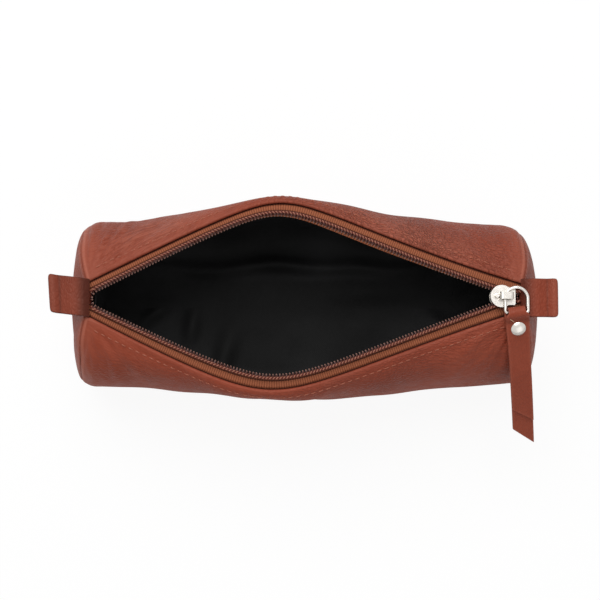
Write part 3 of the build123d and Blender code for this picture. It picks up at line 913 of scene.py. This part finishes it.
def makeTab(end, where):
    look, root = tab[where], tab["root"]
    tip = look["end"]
    profile = ([(root + d, z) for d, z in tab["top"]] + [(tip - d, z) for d, z in tab["fold"]]
               + [(root + d, z) for d, z in tab["under"]])
    profile = smoothPath(np.array(profile), 110)
    x, ahead = profile[:, 0], unit(np.gradient(profile, axis=0))
    v = np.sin(np.linspace(-math.pi / 2, math.pi / 2, tab["columns"]))
    near, thick = roundedEdge(v, tab["width"], tab["edge"], 0.35)
    share = np.clip((x - root) / (tip - root), 0, 1)[:, None]
    middle = np.zeros((len(profile), len(v), 3))
    rootY, tipY = look["shift"]
    middle[..., 1] = v[None] * tab["width"] / 2 + rootY + (tipY - rootY) * share
    middle[..., 0] = profile[:, :1] - look["slant"] * middle[..., 1] * share
    middle[..., 0] -= tab["cornerRound"] * np.abs(v[None]) ** 14 * ease((share - 0.8) / 0.2)
    middle[..., 2] = profile[:, 1:] - 0.18 * v[None] ** 2 * share
    facing = np.zeros_like(middle)
    facing[..., 0], facing[..., 2] = -ahead[:, 1:], ahead[:, :1]
    half = facing * thick[None, :, None] * tab["thickness"] / 2
    rings = sheetRings((middle + half) * (end, 1, 1), (middle - half) * (end, 1, 1), rim=1)
    # painted shade at the root, where the tab dips into the seam, and in the pressed line behind the fold,
    # darker along the long edges; a painted highlight on the rounded fold
    rootAndFoldShade = 0.55 * hump(x, tip - 4.7, 0.6) + 0.95 * ease((root + 6.5 - x) / 5.5)
    wearAndSheen = 0.22 * hump(x, tip - 1.6, 0.9)[:, None] + np.zeros((1, rings.shape[1]))
    shade = look["dark"] + rootAndFoldShade[:, None] * 0.8 + 0.35 * (1 - sheetMark(near[None], 1))
    piece = makeSheet("grip_tab_" + where, rings, trimLeather,
                      {"wearAndSheen": wearAndSheen, "grain": 0.3 + 0 * wearAndSheen, "along": rings[..., 1],
                       "down": rings[..., 0] + rings[..., 2], "shade": np.clip(shade, 0, 1)}, 55)
    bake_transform(piece)
    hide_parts("tab_" + where)


makeTab(-1, "left")
makeTab(1, "right")
print("tabs done")


# Pull: one strip of leather folded over the ring's bar, with both ends cut at a slant
pull = {
    "bar": (89.9, -7.2, 72.6), "yaw": 8.0, "slope": 29.5, "skin": 1.15, "gap": 0.2, "width": 9.7, "neck": 7.2,
    "edge": 0.4, "fold": 1.45, "lean": 54.0, "meet": 5.6, "straight": 15.0, "bend": 400.0,
    "upper": (43.4, 6.0), "lower": (54.0, 7.8),      # how far each leaf reaches, and the slant of its cut
    "thread": ((1.5, -3.3), (3.5, -1.6)),            # its two ends, along and across the strap
}


def strapLoop(leaf):      # the fold round the bar, between the two leaves, from the upper to the lower
    reach, lean = pull["fold"] + pull["skin"] / 2, math.radians(pull["lean"])
    turns = np.linspace(lean, math.tau - lean, 30)
    bow = np.stack([reach * np.cos(turns), reach * np.sin(turns)], -1)
    meet = np.array([pull["meet"], leaf])
    leadIn = np.stack(curve(np.linspace(0, 1, 12), meet, meet - (2.0, 0),
                            bow[0] + 1.2 * np.array([math.sin(lean), -math.cos(lean)]), bow[0]), -1)
    return np.concatenate([leadIn[:-1], bow, (leadIn[:-1] * (1, -1))[::-1]])


def strapLeaf(v, leaf, reach, slant, count, seed, loose):      # rows from the fold to the cut end of one leaf
    start = pull["meet"]
    ends = (reach + slant / 2 * v) / math.cos(math.radians(pull["slope"])) + 0.4
    s = start + (ends[None] - start) * np.linspace(0, 1, count)[:, None]
    over = np.maximum(s - pull["straight"], 0)
    turn = over / pull["bend"]
    along = np.where(over > 0, pull["straight"] + pull["bend"] * np.sin(turn), s)
    flutter = 0.12 * ripple(s, v[None] * 5 + 0 * s, 34, seed) * ease((s - 16) / 14)
    return np.stack([along, leaf - pull["bend"] * (1 - np.cos(turn)) + flutter * loose, s], -1)


def makeStrap():
    leaf = (pull["gap"] + pull["skin"]) / 2
    v = np.sin(np.linspace(-math.pi / 2, math.pi / 2, 22))
    upper = strapLeaf(v, leaf, *pull["upper"], 70, 81, 1)
    lower = strapLeaf(v, -leaf, *pull["lower"], 84, 82, 0.6)
    loop = strapLoop(leaf)[:, None] + np.zeros((1, len(v), 1))
    local = np.concatenate([upper[:0:-1], np.concatenate([loop, loop[..., :1]], -1), lower[1:]])
    s = local[..., 2]      # distance along the strap from the bar, on either leaf
    swell = (pull["width"] - pull["neck"]) / 2 + 0.2 * hump(s, 3, 6)
    half = pull["neck"] / 2 + swell * ease((s + 1.6) / 2.6) - 0.25 * ease((s - 6) / 20)
    ahead = unit(np.gradient(local[..., :2], axis=0))
    facing = np.stack([ahead[..., 1], -ahead[..., 0]], -1)
    thick = roundedEdge(v, pull["width"], pull["edge"], 0.4)[1] * pull["skin"]
    yaw, slope = math.radians(pull["yaw"]), math.radians(pull["slope"])
    level = np.array([math.sin(yaw), -math.cos(yaw), 0])
    downWay = level * math.cos(slope) + np.array([0, 0, -math.sin(slope)])
    upWay = level * math.sin(slope) + np.array([0, 0, math.cos(slope)])
    acrossWay = np.array([math.cos(yaw), math.sin(yaw), 0])
    faces = []
    for sign in (0.5, -0.5):
        spot = local[..., :2] + facing * thick[None, :, None] * sign
        faces.append(np.array(pull["bar"]) + spot[..., :1] * downWay + spot[..., 1:] * upWay
                     + (v[None] * half)[..., None] * acrossWay)
    rings = sheetRings(*faces, rim=1)
    tips = np.minimum(np.arange(len(s)), np.arange(len(s))[::-1])[:, None] + 0 * s
    # lighter along the long edges and at the cut ends; painted shade beside the fold round the bar
    marks = {"wearAndSheen": 0.3 * hump((1 - np.abs(v))[None] * half, 0, 0.5) + 0.2 * hump(tips, 0, 1.0),
             "grain": 0.22 + 0 * s, "shade": 0.4 * hump(s, 3.2, 1.2), "along": s, "down": v[None] * half}
    piece = makeSheet("strap_leather", rings, trimLeather, sheetMarks(marks, 1), 55)
    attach(piece, "strap")
    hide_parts("pull_strap")
    makeLooseThread(s, v, half, faces[0], upWay)


def makeLooseThread(s, v, half, face, upWay):      # a loose end of thread on the upper leaf, beside the fold
    near = slice(60, 80)      # the rows of the upper leaf beside the fold
    path = []
    for share in np.linspace(0, 1, 9):
        along, across = (1 - share) * np.array(pull["thread"][0]) + share * np.array(pull["thread"][1])
        row = int(np.argmin(np.abs(s[near, 0] - along))) + near.start
        path.append(pathAt(across, v * half[row], face[row]) + upWay * (0.2 - 0.3 * abs(2 * share - 1) ** 4))
    points, faces = joinRings([tubeRings(np.array(path), 0.15)])
    thread = makePiece("strap_thread", points, faces, looseThread)
    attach(thread, "strap")


makeStrap()
print("strap done")


# Metal: nickel with faint polishing marks
nickelTones = {"dull": tone(196, 191, 184), "bright": tone(222, 217, 210)}


def nickelPaint():
    paint = newPaint("brightNickel")
    cloud = paint.noise(paint.place(), 320.0, 4.0)
    tint = paint.mix(cloud, nickelTones["dull"], nickelTones["bright"])
    return paint.finish({"Base Color": tint, "Metallic": 1.0, "Roughness": 0.22 + 0.08 * cloud,
                         "Normal": paint.bump(cloud, 0.000004)})


nickel = nickelPaint()
for name in ("slider_body", "slider_crown", "lock_pawl", "pull_ring", "rivet_cap", "rivet_post"):
    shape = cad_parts[name]
    shape.data.materials.clear()
    shape.data.materials.append(nickel)
print("metal parts finished")


# Floor, light and camera, in metres and watts
studio = {
    "sky": 0.32,      # the strength of the world's light on the object
    "key": (13.0, (-0.2, 0.6, 1.1), 1.0), "fill": (2.2, (0.5, -0.9, 0.8), 1.2),      # power, place, size
    "floor": 6.0, "floorTone": (0.86, 0.86, 0.86), "glow": 1.02, "glowShare": 0.9,
    "target": (-0.0022, 0.0015, 0.035), "distance": 0.640, "tilt": 5.0, "lens": 85.0,
}
white = (1, 1, 1)


def makeFloor():
    far = studio["floor"]
    mesh = bpy.data.meshes.new("floor")
    mesh.from_pydata([(-far, -far, 0), (far, -far, 0), (far, far, 0), (-far, far, 0)], [], [(0, 1, 2, 3)])
    floor = bpy.data.objects.new("floor", mesh)
    bpy.context.scene.collection.objects.link(floor)
    paint = newPaint("paleFloor")
    seen = paint.add("ShaderNodeLightPath", out="Is Camera Ray")
    soft = paint.add("ShaderNodeBsdfDiffuse", {}, {"Color": studio["floorTone"]})
    glow = paint.add("ShaderNodeEmission", {}, {"Color": white, "Strength": studio["glow"]})
    both = paint.add("ShaderNodeMixShader", {}, {0: seen * studio["glowShare"], 1: soft, 2: glow})
    paint.add("ShaderNodeOutputMaterial", {}, {"Surface": both})
    mesh.materials.append(paint.owner)


def makeSky():      # dim light on the object, white where the camera or the metal sees it
    world = bpy.data.worlds.new("studioSky")
    bpy.context.scene.world = world
    paint = Paint(world)
    seen, shine, through = (paint.add("ShaderNodeLightPath", out="Is " + kind + " Ray")
                            for kind in ("Camera", "Glossy", "Transmission"))
    either = paint.add("ShaderNodeMath", {"operation": "MAXIMUM"}, {0: seen, 1: shine})
    either = paint.add("ShaderNodeMath", {"operation": "MAXIMUM"}, {0: either, 1: through})
    strength = studio["sky"] + (1 - studio["sky"]) * either
    sky = paint.add("ShaderNodeBackground", {}, {"Color": white, "Strength": strength})
    paint.add("ShaderNodeOutputWorld", {}, {"Surface": sky})


def addLamp(name, power, spot, size):
    data = bpy.data.lights.new(name, "AREA")
    data.energy, data.size = power, size
    lamp = bpy.data.objects.new(name, data)
    bpy.context.scene.collection.objects.link(lamp)
    lamp.location = spot
    lamp.rotation_euler = (Vector(studio["target"]) - Vector(spot)).to_track_quat("-Z", "Y").to_euler()


def addCamera():      # almost straight above the mouth, as in the photograph
    data = bpy.data.cameras.new("photoView")
    data.lens, data.sensor_width, data.clip_start = studio["lens"], 36.0, 0.01
    camera = bpy.data.objects.new("photoView", data)
    bpy.context.scene.collection.objects.link(camera)
    tilt = math.radians(studio["tilt"])
    away = Vector((0, -math.sin(tilt), math.cos(tilt)))
    camera.location = Vector(studio["target"]) + studio["distance"] * away
    camera.rotation_euler = (tilt, 0, 0)
    bpy.context.scene.camera = camera


makeFloor()
makeSky()
addLamp("keyLamp", *studio["key"])
addLamp("fillLamp", *studio["fill"])
addCamera()
bpy.context.scene.view_settings.view_transform = "Standard"

print("scene ready")
